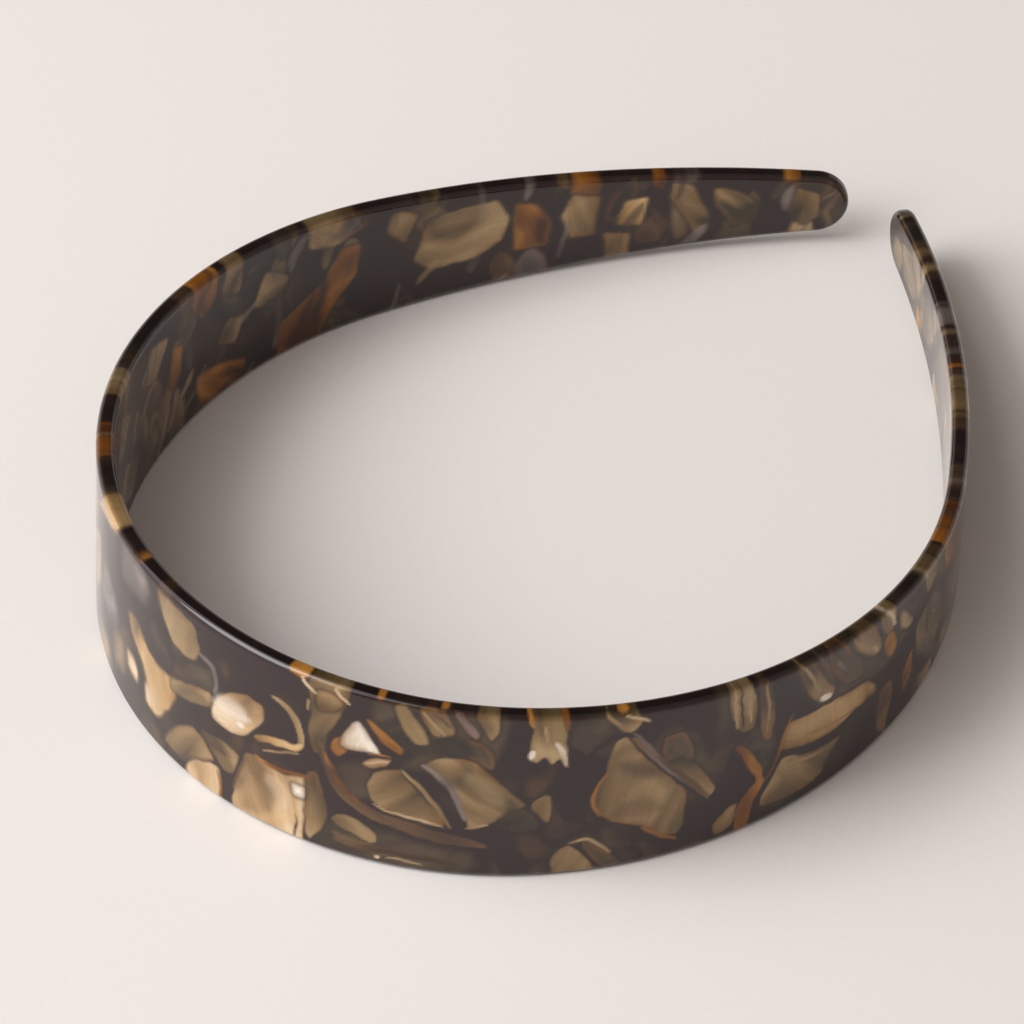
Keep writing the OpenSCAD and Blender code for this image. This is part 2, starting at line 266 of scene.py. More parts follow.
# How metallic each kind is, as pearl flakes make it
FLAKE = {"dark": 0, "ghost": 0.2, "lilac": 0.4, "brown": 0.2, "olive": 0.5, "tan": 0.5, "gold": 0.4,
         "cream": 0.35, "white": 0.3, "amber": 0.05}
VEIN = np.array((0.020, 0.011, 0.008))      # the dark line round a chip
RUST = np.array((0.210, 0.082, 0.010))      # and the warm stain inside its edge
WAVER, SLOW_WAVER, QUICK_WAVER = 0.9, 0.16, 0.8     # how far outlines waver, mm, and how often per mm
CLOUD, CLOUD_RATE = 0.7, 0.17     # contrast of the clouds inside a chip, and how many there are per mm
FOLD, FOLD_RATE = 0.42, 0.13      # the same of its soft folds
STROKE_STREAK = 0.15              # and of the streaks along a line
SOFT_FROM, SOFT_GROWS = -2.0, 0.022     # left of this length edges get softer, by so much per mm
SMUDGE_SOFT = 0.9                 # half width of the edges of the deep chips and the smudges
CHIP_GROW = 0.35                  # a modelled chip is painted this much larger all round
REACH = 2.5                       # a shape's distances are worked out this far from it

CELL, CELL_JITTER = 5.2, 2.2      # pitch of the dim cells, and how far their middles stray
CELL_REACH = 5.0                  # and how far from its middle a cell is looked for
TABLE = np.random.default_rng(5).random((256, 256))


def soft_noise(x, y, seed=0.0):
    """Smooth value noise from 0 to 1 with a period of 256."""
    x, y = x + seed * 17.31, y + seed * 9.17
    xi, yi = np.floor(x).astype(int), np.floor(y).astype(int)
    fx, fy = x - xi, y - yi
    fx, fy = fx * fx * (3 - 2 * fx), fy * fy * (3 - 2 * fy)
    a, b = TABLE[xi % 256, yi % 256], TABLE[(xi + 1) % 256, yi % 256]
    c, d = TABLE[xi % 256, (yi + 1) % 256], TABLE[(xi + 1) % 256, (yi + 1) % 256]
    return (a * (1 - fx) + b * fx) * (1 - fy) + (c * (1 - fx) + d * fx) * fy


def ease(x, lo, hi):
    """A smooth step from 0 at lo to 1 at hi."""
    t = np.clip((x - lo) / (hi - lo), 0, 1)
    return t * t * (3 - 2 * t)


def blend_colour(old, new, share):
    """Goes from the old colours to the new ones by each point's share."""
    return old + (new - old) * share[:, None]


def shade(tint, g):
    """A kind's colour at g, from 0 at its dark end to 1 at its light end."""
    lo, mid, hi = (np.array(c) for c in TINTS[tint])
    g = g[:, None]
    low, high = np.clip(g * 2, 0, 1), np.clip(g * 2 - 1, 0, 1)
    return np.where(g < 0.5, lo + (mid - lo) * low, mid + (hi - mid) * high)


def rounded(loop, shares=(0.16, 0.25)):
    """Cuts an outline's corners off."""
    for k in shares:
        nxt = np.roll(loop, -1, 0)
        loop = np.stack([loop * (1 - k) + nxt * k, loop * k + nxt * (1 - k)], 1).reshape(-1, 2)
    return loop


class Paint:
    """The colour of a set of points on the unrolled band."""

    def __init__(self, s, z, n):
        # outlines waver a little, because they are looked up at shifted places
        shift = []
        for seed in (1, 3):
            slow = soft_noise(s * SLOW_WAVER, z * SLOW_WAVER + n * 0.1, seed) - 0.5
            quick = soft_noise(s * QUICK_WAVER, z * QUICK_WAVER, seed + 1) - 0.5
            shift.append(slow + 0.3 * quick)
        self.p = np.stack([s + WAVER * shift[0], z + WAVER * shift[1]], 1)
        self.colour = np.tile(np.array(TINTS["dark"][1]), (len(s), 1))
        self.flake = np.zeros(len(s))
        self.grain = np.stack([s, z, np.zeros(len(s))], 1)

    def near(self, lo, hi):
        """The numbers of the points in and just round a box."""
        return np.flatnonzero(((self.p > lo - REACH) & (self.p < hi + REACH)).all(1))

    def lay(self, i, d, tint, seed, tone, angle, slope, streak, soft, rim, rust, centre, size, share):
        """Paints one shape: d is the distance inside it at the points i."""
        p = self.p[i] - centre
        ca, sa = math.cos(angle), math.sin(angle)
        u, v = p[:, 0] * ca + p[:, 1] * sa, p[:, 1] * ca - p[:, 0] * sa
        g = 0.5 + 0.25 * tone + slope * u / size
        cloud = soft_noise(u * CLOUD_RATE, v * CLOUD_RATE, seed)
        g = g + CLOUD * (cloud - 0.5)
        fold = (v * FOLD_RATE + 1.1 * cloud + 0.6 * soft_noise(u * 0.09, v * 0.3, seed + 1)) % 1.0
        g = g + FOLD * (np.abs(fold * 2 - 1) - 0.5)
        g = g + streak * (soft_noise(u * 0.10, v * 0.7, seed + 3) - 0.5)
        g = g + 0.3 * streak * (soft_noise(u * 0.3, v * 2.6, seed + 5) - 0.5)
        new = shade(tint, g)
        old = self.colour[i]
        if rim:
            old = blend_colour(old, VEIN, rim * (1 - ease(-d, 0.0, 0.7)) * 0.8)
        if rust:
            patchy = ease(soft_noise(self.p[i][:, 0] * 0.2, self.p[i][:, 1] * 0.2, seed + 7), 0.42, 0.62)
            new = blend_colour(new, RUST, rust * patchy * (1 - ease(d, 0.1, 1.1)))
        new = blend_colour(new, VEIN, rim * 0.5 * (1 - ease(d, 0.0, 0.3)))
        s = self.p[i][:, 0]
        soft = soft + SOFT_GROWS * np.clip(SOFT_FROM - s, 0, 30) * (s > PAINTED_FROM - 6)
        a = ease(d / soft, -1, 1) * share
        self.colour[i] = blend_colour(old, new, a)
        self.flake[i] += (FLAKE[tint] - self.flake[i]) * a
        on = i[a > 0.5]
        self.grain[on] = np.stack([u[a > 0.5], v[a > 0.5], np.full(len(on), seed)], 1)

    def patch(self, tint, loops, seed=0.0, tone=0.0, angle=0.6, slope=0.3, streak=0.25, soft=0.14,
              rim=0.8, rust=0.5, grow=0.0, share=1.0):
        """Paints a chip with the given outlines: tone lightens it, and slope shades it along angle."""
        loops = [rounded(np.array(q, float)) for q in loops]
        raw = np.concatenate(loops)
        lo, hi = raw.min(0), raw.max(0)
        i = self.near(lo, hi)
        if len(i):
            size = max(1.0, np.linalg.norm(hi - lo) / 2)
            depth = depth_in(self.p[i], loops) + grow
            self.lay(i, depth, tint, seed, tone, angle, slope, streak, soft, rim, rust,
                     (lo + hi) / 2, size, share)

    def stroke(self, tint, pts, width=0.6, seed=0.0, tone=0.0, soft=0.14, share=1.0):
        """Paints a line along the points, which thins towards its ends."""
        pts = np.array(pts, float)
        for _ in range(2):      # rounds the bends and keeps the ends
            mids = [pts[:-1] * 0.75 + pts[1:] * 0.25, pts[:-1] * 0.25 + pts[1:] * 0.75]
            pts = np.concatenate([pts[:1], np.stack(mids, 1).reshape(-1, 2), pts[-1:]])
        i = self.near(pts.min(0), pts.max(0))
        if not len(i):
            return
        q = self.p[i]
        best, where, gone = np.full(len(q), 1e9), np.zeros(len(q)), 0.0
        total = np.linalg.norm(np.diff(pts, axis=0), axis=1).sum()
        for a, b in zip(pts[:-1], pts[1:]):
            ab = b - a
            length = np.linalg.norm(ab)
            t = np.clip(((q - a) @ ab) / max(length ** 2, 1e-12), 0, 1)
            d = np.linalg.norm(q - (a + t[:, None] * ab), axis=1)
            where = np.where(d < best, (gone + t * length) / total, where)
            best = np.minimum(best, d)
            gone += length
        taper = np.sqrt(np.clip(1 - (2 * where - 1) ** 2, 0, 1)) * 0.75 + 0.25
        d = width / 2 * taper - best
        way = pts[-1] - pts[0]
        self.lay(i, d, tint, seed, tone, math.atan2(way[1], way[0]), 0.0, STROKE_STREAK, soft, 0.0, 0.0,
                 (pts[0] + pts[-1]) / 2, max(1.0, total / 2), share)

    def cells(self):
        """Dim chips deep in the matrix, with dark veins between them."""
        rng = np.random.default_rng(3)
        def stray():
            return rng.uniform(-CELL_JITTER, CELL_JITTER)

        seeds = np.array([(s + stray(), z + stray()) for s in np.arange(-200, 201, CELL)
                          for z in np.arange(-18, 19, CELL)])
        bright = rng.random(len(seeds))
        d1, d2 = np.full(len(self.p), 1e9), np.full(len(self.p), 1e9)
        who = np.zeros(len(self.p), int)
        sway = [soft_noise(self.p[:, 0] * 0.2, self.p[:, 1] * 0.2, k) - 0.5 for k in (21, 22)]
        wander = self.p + 3.0 * np.stack(sway, 1)
        for k, q in enumerate(seeds):
            i = self.near(q - CELL_REACH, q + CELL_REACH)
            d = np.abs(wander[i, 0] - q[0]) + np.abs(wander[i, 1] - q[1]) * 0.7
            first = d < d1[i]
            d2[i] = np.where(first, d1[i], np.minimum(d2[i], d))
            who[i] = np.where(first, k, who[i])
            d1[i] = np.where(first, d, d1[i])
        inside = (d2 - d1) / 2
        g = ease(soft_noise(self.p[:, 0] * 0.3, self.p[:, 1] * 0.3, 8), 0.2, 0.8)
        tint = np.where((bright[who] > 0.75)[:, None], shade("brown", g * 0.6), shade("ghost", g))
        lit = ease(bright[who], 0.45, 0.7) * ease(inside, -0.2, 1.6) * 0.6
        self.colour = blend_colour(self.colour, tint, lit)
        self.flake += lit * 0.2


# Dim chips deep in the matrix: (tint, tone, points)
GROUND = [
    ("ghost", 0.9, [(17, 14.5), (27, 14.5), (36, 14.5), (33.5, 4.5), (28, 7), (21, 6), (17.5, 9)]),
    ("ghost", 0.7, [(8.8, -9), (13, -8.4), (20, -8.8), (31, -10), (31, -14), (9, -14.5)]),
    ("ghost", 0.2, [(12, 1), (16.6, 3), (17, -3), (14, -4.6)]),
    ("ghost", 0.5, [(20.6, 3.4), (28, 3.2), (27.4, 6.4), (23, 6)]),
    ("ghost", 0.6, [(55.2, 9), (60, 8.6), (62.6, 2), (64.4, -4.4), (61, -6), (57, 2)]),
    ("ghost", 0.4, [(63, 14.5), (66, 14.5), (65.6, 6), (63.4, 5)]),
    ("ghost", 0.8, [(74, 14.5), (97, 14.5), (100, 4), (92, 1.6), (85, 3), (80, 3), (77.6, 6)]),
    ("ghost", 1.0, [(76, 14.5), (90, 14.5), (92, 4.6), (83, 3.4), (78.6, 8)]),
    ("ghost", 0.6, [(66.4, 3.4), (70, 4.4), (73, 2), (71.4, -3.4), (69, -2)]),
    ("ghost", 0.4, [(70.4, -6), (84.6, -4.4), (91, -2), (88, -6), (80, -11), (70, -11.6)]),
    ("ghost", 0.3, [(45, 14), (48.4, 14), (48.6, 10), (46, 11)]),
    ("ghost", 0.3, [(40.4, -10.6), (43, -7.4), (47, -7), (53, -12.6), (53, -15), (40, -15)]),
    ("lilac", -0.4, [(-38, 3), (-33, 2), (-31, -3), (-36, -5), (-40, -2)]),
    ("tan", -0.4, [(-42, -10), (-36, -9), (-34, -13), (-38, -15.5), (-43, -14)]),
    ("lilac", -0.5, [(-30, 14), (-22, 13), (-23, 8), (-29, 7.6)]),
    ("tan", -0.7, [(-33, -5), (-29.6, -4), (-29, -9), (-33, -9.4)]),
    ("ghost", 0.6, [(-24, -10), (-19, -11), (-17, -14.5), (-24, -14.5)]),
    ("ghost", 0.4, [(-14, 2), (-8, 4), (-8, 7), (-12, 6)]),
]
# Soft smudges laid last, the first of them a painted highlight: (tint, tone, width, share, points)
CLOUDS = [
    # painted highlight: a soft white band over the upper part of the cream chip near the crown's middle
    ("white", 0.2, 3.4, 0.6, [(-7, 2.2), (-4, 2.8), (-1.2, 2.4)]),
    ("dark", 0.6, 2.2, 0.45, [(49.8, 4.4), (52.4, 3.2), (55.2, 2.0)]),
    ("brown", -0.4, 3.0, 0.5, [(49.6, -4.6), (52.6, -3.2), (56, -4.4)]),
    ("dark", 0.3, 5.0, 0.85, [(82, -9.6), (86.6, -6.4), (90, -4.8)]),
    ("dark", 0.3, 3.0, 0.6, [(88, -3.4), (91.6, -1.6), (94, 0)]),
    ("tan", 0.5, 2.4, 0.5, [(75.6, 1.8), (79, 0.8), (84, 0.4)]),
    ("dark", 0.3, 2.0, 0.4, [(25.4, 0.4), (28.6, 2.4), (31, 2.2)]),
    ("tan", 0.5, 3.0, 0.4, [(29.6, 3.6), (32.6, 1.4), (34.8, -1.2)]),
    ("dark", 0.6, 1.8, 0.4, [(-2.4, -4), (-1.8, -7), (-2.6, -11)]),
    ("cream", 0.7, 3.0, 0.4, [(2, -5.4), (4.4, -8), (4, -12)]),
    ("gold", 0.3, 2.4, 0.5, [(1, -13.6), (4.4, -12.4), (7.4, -10)]),
]
# Chips of the crown and the right arm, in the order they are laid:
# (tint, tone, angle in degrees, slope, points)
PATCHES = [
    ("gold", -0.3, 20, 0.3, [(-45, 8.5), (-38.5, 14), (-41, 18), (-30.5, 18), (-31.5, 13.5), (-34, 11.8),
         (-38, 11.5)]),
    ("tan", 0.1, 250, 0.3, [(-20, 14), (-11, 13.5), (-10, 9), (-11, 7), (-13, 6.4), (-15.5, 7.2),
         (-18, 10)]),
    ("gold", 0.4, 280, 0.35, [(-27.5, 3.5), (-24.5, 3.8), (-21.5, 0.8), (-18, 0.2), (-14, 1), (-14.6, -2.5),
         (-16.2, -6), (-19, -9.2), (-22.5, -9), (-22, -5), (-23.5, -2.5), (-26.5, 0)]),
    ("cream", 0.3, 0, 0.2, [(-28.5, -4), (-26, -4), (-24.4, -6), (-25, -8), (-28, -7.4)]),
    ("tan", 0.6, 20, 0.2, [(-16, 0.2), (-12, 1.8), (-8.0, 3.4), (-7.6, 0.6), (-12, -1.2), (-15.8, -2.0)]),
    ("cream", 0.35, 200, 0.5, [(-7.9, 1), (-6.5, 3.6), (-4.5, 5.3), (-1, 6.6), (1.2, 6), (1.4, 3.5),
         (-0.3, 1), (-2, -0.9), (-5, -1.6), (-7.9, -1)]),
    ("tan", -0.2, 60, 0.4, [(-18, -12), (-15, -8), (-11.5, -5.1), (-9.5, -5.7), (-6.8, -8.3), (-9, -9.9),
         (-11, -11.2), (-13, -12.8)]),
    ("cream", 0.7, 280, 0.3, [(-12.8, -13.5), (-11, -11), (-8.5, -9.5), (-6.2, -9), (-5.6, -11),
         (-5.8, -14.5), (-6, -18), (-13, -18)]),
    ("tan", -0.5, 0, 0.3, [(-10, -4.6), (-6, -3.9), (-2.4, -4.3), (-3.4, -8.5), (-5.2, -9), (-8, -6.6)]),
    ("cream", -0.1, 290, 0.35, [(-1.6, -2.8), (1, -2.9), (5, -4.4), (8.2, -3), (8.2, -8), (8.6, -12),
         (8, -14.5), (8, -18), (-3.6, -18), (-3.2, -10)]),
    ("tan", 0.1, 270, 0.3, [(8, -2.4), (9.6, -1.6), (10.6, -5), (11.9, -8), (10.8, -11.4), (9, -14.5),
         (8, -12)]),
    ("olive", -0.4, 60, 0.4, [(7.8, 14.5), (9, 18), (14, 18), (13.8, 12.5), (12.8, 9.5), (11.2, 6),
         (10.8, 2.5), (9.4, 1.5), (8.2, 4.5), (8.6, 9)]),
    ("tan", -0.1, 30, 0.3, [(9, 13.5), (12, 13.4), (13.4, 12), (12, 10), (9.6, 9.4)]),
    ("amber", 0.5, 60, 0.3, [(12, 5.5), (13.3, 6.4), (14, 4.4), (12.6, 2.3), (11.6, 3.4)]),
    ("white", 0.5, 80, 0.3, [(15.4, 10.6), (13, 6.4), (12.8, 4.6), (14.2, 4.2), (17, 5.1), (18.4, 4.6)]),
    ("amber", 0.4, 310, 0.3, [(16, 10.9), (17.5, 10.5), (20.3, 8.3), (21.6, 6.6), (21, 5.7), (18.4, 7.3)]),
    ("cream", 0.3, 20, 0.3, [(15.4, 2.3), (17, 4.2), (19.8, 4.4), (19, 3.1), (16.8, 2)]),
    ("tan", -0.3, 300, 0.3, [(20, 14.2), (22, 14.6), (23.6, 12), (25, 9.2), (24.8, 7.7), (23, 7.8),
         (21.5, 11)]),
    ("olive", -0.3, 300, 0.3, [(23.4, 14.6), (27, 14.6), (28, 11), (27, 9), (25.4, 9.6)]),
    ("lilac", -0.3, 300, 0.3, [(28, 14.6), (29.4, 14.4), (31.4, 11), (30.8, 10), (29.2, 11.4)]),
    ("olive", 0.1, 300, 0.3, [(30.8, 14.5), (34, 18), (34.4, 12), (33, 9.8), (31.8, 12)]),
    ("ghost", 0.6, 300, 0.4, [(26.6, 10), (31.5, 10), (33.6, 7.5), (33.4, 4.5), (29, 7), (25, 6.8)]),
    ("olive", -0.1, 30, -0.45, [(16.3, -0.8), (17.2, 1.6), (19.5, 2.8), (21.4, 2.9), (23.6, 0.6),
         (26, -2.8), (27.4, -6.2), (24, -6), (18.5, -4.5), (16.6, -3)]),
    ("olive", 0.45, 140, 0.25, [(23.3, 4), (26, 5.9), (29, 6.5), (31.5, 5.6), (35, 2.1), (38, -0.9),
         (35, -3.6), (32, -5.4), (30, -6.4), (29.9, -4), (28.6, -1), (26, 2)]),
    ("olive", 0.2, 60, 0.2, [(37.9, -1), (40, 1), (40.9, 0.4), (40.6, -4.8)]),
    ("ghost", 0.8, 60, 0.2, [(34, -3.8), (37.6, -1.3), (40, -5), (36, -6)]),
    ("tan", 0.55, 95, -0.3, [(38.3, 18), (43, 18), (42.7, 11), (42.9, 4.9), (41.5, 7.2), (40.7, 6),
         (39.8, 7.6), (38.9, 6.6), (37.8, 7.4), (38.6, 11)]),
    ("tan", -0.3, 300, 0.3, [(47.8, 14.5), (49.5, 18), (52, 14), (52.4, 11.5), (51, 10), (49.3, 11)]),
    ("olive", 0.25, 75, 0.3, [(48.8, 8.6), (50.5, 9.6), (52, 7.5), (54.5, 4.2), (57, 1), (59.3, -2.4),
         (59.4, -8), (58.5, -10.2), (56, -9.6), (53, -7), (49.5, -5.6), (46.5, -2.2), (46.7, 0), (48, 3)]),
    ("ghost", 0.9, 60, 0.3, [(55.5, 8.5), (58.6, 9), (60.4, 5), (60, 2), (56, 4)]),
    ("olive", 0.15, 300, 0.3, [(57.5, 4.2), (60.2, 2.8), (63.8, -3.5), (63, -5), (60, -2.6), (57, 1)]),
    ("olive", 0.3, 60, 0.3, [(41, -11), (42.4, -9), (43.6, -8.5), (45, -9.7), (46.6, -11.6), (48.5, -18),
         (41, -18)]),
    ("ghost", 0.9, 300, 0.3, [(45.2, -8), (47, -8.4), (50.6, -12.6), (52, -18), (49, -18), (46.8, -11)]),
    ("olive", -0.2, 90, 0.3, [(64.9, 14), (68.4, 14), (69.6, 9), (69, 4.5), (66.6, 4.8), (65.6, 8)]),
    ("brown", 0.2, 280, 0.3, [(69.6, 14), (72, 12), (72.8, 5), (72, 1.5), (70.5, 2), (69.8, 8)]),
    ("olive", 0.1, 60, 0.3, [(63.6, -10), (66.2, -7.8), (67.4, -7.4), (67, -11.6), (64.2, -12.2)]),
    ("gold", -0.5, 100, 0.5, [(73.4, -0.6), (73.9, 1.4), (75.2, 3.6), (76.6, 3.2), (82, 2.4), (89, 2.0),
         (91.4, 0.2), (91.8, -1.4), (89, -1.6), (84, -2.8), (78, -2.2), (74.6, -1.2)]),
    ("olive", 0.0, 135, 0.6, [(74, -2.2), (77, -3.4), (80, -4.2), (85, -4.4), (83, -8.5), (78, -10.4),
         (70.6, -10.6), (70.8, -8.4), (72.2, -5.8)]),
    ("olive", -0.3, 300, 0.4, [(75, 13.6), (78, 13), (80.8, 8), (82.8, 5), (82.4, 3.2), (80, 4),
         (78, 6.4)]),
    ("ghost", 0.9, 300, 0.4, [(81, 13), (84, 13), (88, 7), (89, 3.6), (84.6, 3.8), (82.4, 8)]),
    ("olive", -0.2, 300, 0.4, [(85, 13), (90, 13), (92, 8), (92.4, 5.4), (90, 6), (87, 9)]),
    ("tan", -0.2, 300, 0.3, [(91, 18), (94.6, 18), (95.6, 8), (94, 7), (92.2, 9)]),
    ("amber", 0.5, 60, 0.3, [(93, 7), (95, 7.4), (96.4, 4.4), (95, 2.6), (93.4, 4.4)]),
    ("tan", -0.1, 300, 0.3, [(96, 10), (98, 8.6), (100.6, 5.4), (99.4, 4.4), (97, 6)]),
    ("brown", 0.3, 280, 0.3, [(92.6, -1.6), (95.6, -1.4), (96.4, -5), (95, -11), (93.4, -9), (92.6, -6)]),
    # a small square flake, with its shine painted in as near white (painted glint)
    ("white", 1.0, 0, 0.1, [(5.6, -5.2), (8, -5.0), (8, -7.4), (5.8, -7.6)]),
]
# Amber seen only on the upper edge: (tone, from, to)
EDGE_AMBER = [(0.5, -26, -24), (0.6, 4.8, 8), (0.4, 17.4, 18.8), (0.4, 26.2, 27.6), (0.3, 48.4, 50),
              (0.4, 63.2, 65), (0.5, 74.4, 76), (0.5, 90.4, 93)]
PATCHES += [("amber", tone, 0, 0.2, [(a, 14.4), (b, 14.4), (b, 18), (a, 18)]) for tone, a, b in EDGE_AMBER]
# Thin chips, veins and painted glints (highlights painted into the colour), laid next: (tint, tone, width,
# points)
STROKES = [
    ("tan", 0.2, 1.1, [(2.4, 8.6), (5, 8), (6.9, 5), (7.4, 1.8), (6.4, 0.5)]),
    ("gold", -0.4, 1.3, [(0, 0.2), (3, 1), (6, 0.8), (7.4, 2)]),
    ("cream", 0.2, 0.35, [(1.4, -1.4), (4, -0.6), (7, 0.2)]),
    ("lilac", 0.0, 0.8, [(-10.4, 8.8), (-7.8, 8), (-6.8, 5.6), (-7.4, 3.6)]),
    ("brown", 0.0, 0.5, [(-1.4, -3.6), (-2.4, -7), (-3.4, -11)]),
    ("amber", 0.5, 0.7, [(0, -2.7), (4, -3.9), (8.4, -3.2)]),
    ("amber", 0.1, 0.5, [(-6.4, -9.6), (-5.6, -12), (-5.8, -16)]),
    # painted highlight: a small white glint on the cream chip
    ("white", 0.4, 0.9, [(-3, 0.6), (-1.8, 0.9)]),
    ("white", 0.2, 0.9, [(-22, -6), (-21, -8.6)]),
    ("white", 0.0, 0.6, [(-20, -5.5), (-19, -8)]),
    ("brown", 0.4, 0.5, [(6.4, -10.5), (7, -12.4), (6.6, -15)]),
    ("brown", 0.2, 0.4, [(8, -9), (8.3, -12), (7.9, -15)]),
    ("cream", 0.3, 0.5, [(7, 14.6), (7.8, 13.4), (9.2, 12.4)]),
    ("cream", 0.0, 0.45, [(11.6, 14.4), (12.8, 13.2), (14, 12.4)]),
    ("tan", 0.3, 0.4, [(8, 11), (8.1, 9)]),
    ("cream", 0.4, 0.3, [(16, 2.7), (18, 3.7), (19.4, 3.9)]),
    ("amber", 0.0, 0.35, [(16.4, 4.7), (18, 5.1), (19.6, 4.9)]),
    ("brown", 0.5, 1.9, [(9.8, 4), (11, 0.8), (12.4, -3), (15, -5.2), (19, -6.3), (25, -7.6),
         (32.6, -8.8)]),
    ("amber", -0.1, 0.6, [(10.6, 2.4), (11.6, -0.4), (13, -3), (15.4, -4.6)]),
    ("dark", 0.0, 0.5, [(10.2, -1), (12, -4.4), (15, -6.4), (20, -7.6), (27, -9)]),
    ("olive", 0.3, 2.6, [(12.6, -8.6), (15, -8.6), (18, -10.6)]),
    ("olive", 0.1, 1.6, [(12.4, -11), (15, -11.4), (20, -12.6)]),
    ("brown", 0.4, 1.4, [(12.6, -12), (17, -12.4), (22, -11.6), (30, -12)]),
    # painted glints: a bright dot and a thin line of sheen near the lower edge, painted into the colour
    ("cream", 0.3, 0.7, [(18.3, -13.2), (18.8, -13.7)]),
    ("tan", 0.2, 0.4, [(19.6, -13.4), (22, -12.9), (24.6, -13.4)]),
    ("tan", 0.3, 0.7, [(21.2, 2.8), (23.6, 0), (25.6, -2.6), (27.8, -6.2)]),
    ("dark", 0.0, 0.35, [(21, 2.6), (23.2, -0.4), (25.4, -3.4)]),
    ("cream", 0.1, 0.35, [(17.2, -3.9), (19.4, -4.6), (24, -5.6), (27, -6.2)]),
    ("lilac", 0.3, 0.8, [(23.7, 4.2), (26.4, 2.6), (28.6, -0.4), (29.8, -4.6)]),
    ("cream", 0.2, 0.4, [(29.8, -6.1), (31.4, -5.7), (33, -5)]),
    ("lilac", 0.5, 0.4, [(28.4, 14), (30, 12)]),
    ("tan", 0.4, 0.35, [(24.2, 14), (26, 11), (26.8, 9.8)]),
    ("brown", 0.3, 0.4, [(25.6, 14), (27.4, 11.6)]),
    ("white", 0.0, 0.8, [(41.4, 10), (42.2, 8), (42.5, 5.8)]),
    ("white", -0.2, 0.7, [(38.5, 8.8), (38.3, 7.4)]),
    ("cream", 0.3, 0.6, [(40, 13), (40.4, 10)]),
    ("amber", 0.2, 0.9, [(41, 15), (42.6, 14.6), (42.9, 12)]),
    ("amber", 0.0, 0.6, [(38, 15), (38.6, 12.6)]),
    ("cream", 0.2, 0.6, [(48, 14), (49.2, 12), (50.8, 10.6)]),
    ("cream", 0.3, 0.5, [(50.4, 13.6), (52.2, 12.4), (53.4, 11.6)]),
    ("amber", 0.4, 0.7, [(48.4, 15.2), (50, 14.2), (51.4, 14.4)]),
    ("brown", 0.2, 1.5, [(51.2, 9), (54.6, 5), (58.4, 0.4), (62.6, -5)]),
    ("dark", 0.0, 0.45, [(50.4, 9.6), (54, 4.8), (58, -0.2), (62.6, -5.6)]),
    ("lilac", 0.4, 0.6, [(51.2, 10), (53.4, 7.6), (55.4, 5)]),
    ("lilac", 0.0, 0.35, [(53, 7), (56, 3), (59, -1)]),
    ("amber", 0.1, 0.5, [(48.2, 3.6), (46.7, 0.4), (46.6, -2), (48, -4)]),
    ("amber", -0.1, 0.6, [(53, -7.4), (56, -9.8), (58.4, -10.8)]),
    ("tan", 0.0, 0.5, [(43.6, -8.1), (45.8, -7.6), (47.6, -8.6), (49.4, -11)]),
    ("dark", 0.0, 0.4, [(44.6, -8.8), (46.4, -11), (48.4, -14)]),
    ("tan", 0.5, 0.6, [(66, 13.4), (66.3, 10), (66.2, 6)]),
    ("tan", 0.5, 0.7, [(67.8, 13.6), (68.3, 10), (68.4, 6)]),
    ("dark", 0.4, 0.4, [(67, 13), (67.2, 8), (67, 5.4)]),
    ("olive", 0.4, 0.5, [(70.8, 12), (71.6, 7), (71.4, 3)]),
    ("amber", 0.0, 1.3, [(66.4, 2.6), (68.4, 0), (70.4, -3.2), (70.6, -5.6)]),
    ("amber", 0.35, 2.2, [(71, -4.6), (69, -7.4), (68.2, -10), (68.2, -14.6)]),
    ("amber", 0.1, 0.5, [(75.6, 4.6), (74, 1), (72.6, -3.4), (70.8, -6)]),
    ("gold", 0.3, 0.5, [(74.6, 0.8), (78, -0.6), (84, -1.8), (89, -1.8)]),
    ("dark", 0.3, 0.5, [(74.4, -1.6), (79, -3.2), (86, -3.4), (91.4, -1.6)]),
    ("tan", 0.1, 0.6, [(75, -3.4), (79, -5), (84, -5)]),
    ("tan", 0.2, 0.5, [(76, 13), (78.4, 9.4), (80.2, 6)]),
    ("white", 0.3, 1.2, [(80.6, 4.6), (82, 3.6)]),
    ("lilac", 0.3, 0.35, [(83, 10), (84.6, 7)]),
    ("brown", 0.5, 0.4, [(79.4, 12.6), (82.4, 8), (84, 5)]),
    ("tan", 0.3, 0.45, [(86.2, 12), (88.4, 8.6), (90.6, 6.4)]),
    ("cream", 0.2, 0.5, [(90.4, 7.6), (91.6, 6.2)]),
    ("cream", 0.1, 0.6, [(92.6, 12), (94.4, 10.4), (95.4, 8)]),
    ("brown", 0.6, 0.5, [(82, 2.9), (87, 3), (91.4, 1.8)]),
]
PAINTED_FROM, PAINTED_TO = -44.0, 100.0     # the lengths that these lists cover
MARGIN = 2.0       # the random shapes keep this far off them


FILLERS = 230      # small chips between the modelled ones, where the lists above don't reach


def fillers(work):
    """Small slanted chips on the lengths that the lists above don't cover."""
    rng = random.Random(19)
    for k in range(FILLERS):
        s, z = rng.uniform(-ENDS[3], ENDS[3]), rng.uniform(-15, 15)
        length, width, lean = rng.uniform(2.5, 8.0), rng.uniform(1.2, 3.6), rng.gauss(1.9, 0.35)
        tint = rng.choice(("ghost", "ghost", "ghost", "brown", "olive", "olive", "tan", "lilac"))
        tone, edge, share = rng.uniform(-0.5, 0.6), rng.uniform(0.2, 0.9), rng.uniform(0.5, 1.0)
        ring = [(rng.uniform(0.75, 1.1), 2 * math.pi * (i + rng.uniform(-0.3, 0.3)) / 7) for i in range(7)]
        if PAINTED_FROM - MARGIN < s < PAINTED_TO + MARGIN:
            continue
        pts = [(r * math.cos(f) * length, r * math.sin(f) * width) for r, f in ring]
        ca, sa = math.cos(lean), math.sin(lean)
        pts = [(s + x * ca - y * sa, z + x * sa + y * ca) for x, y in pts]
        work.patch(tint, [pts], k + 200.5, tone, lean, 0.3, 0.3, soft=edge, rim=0.4, rust=0.3, share=share)


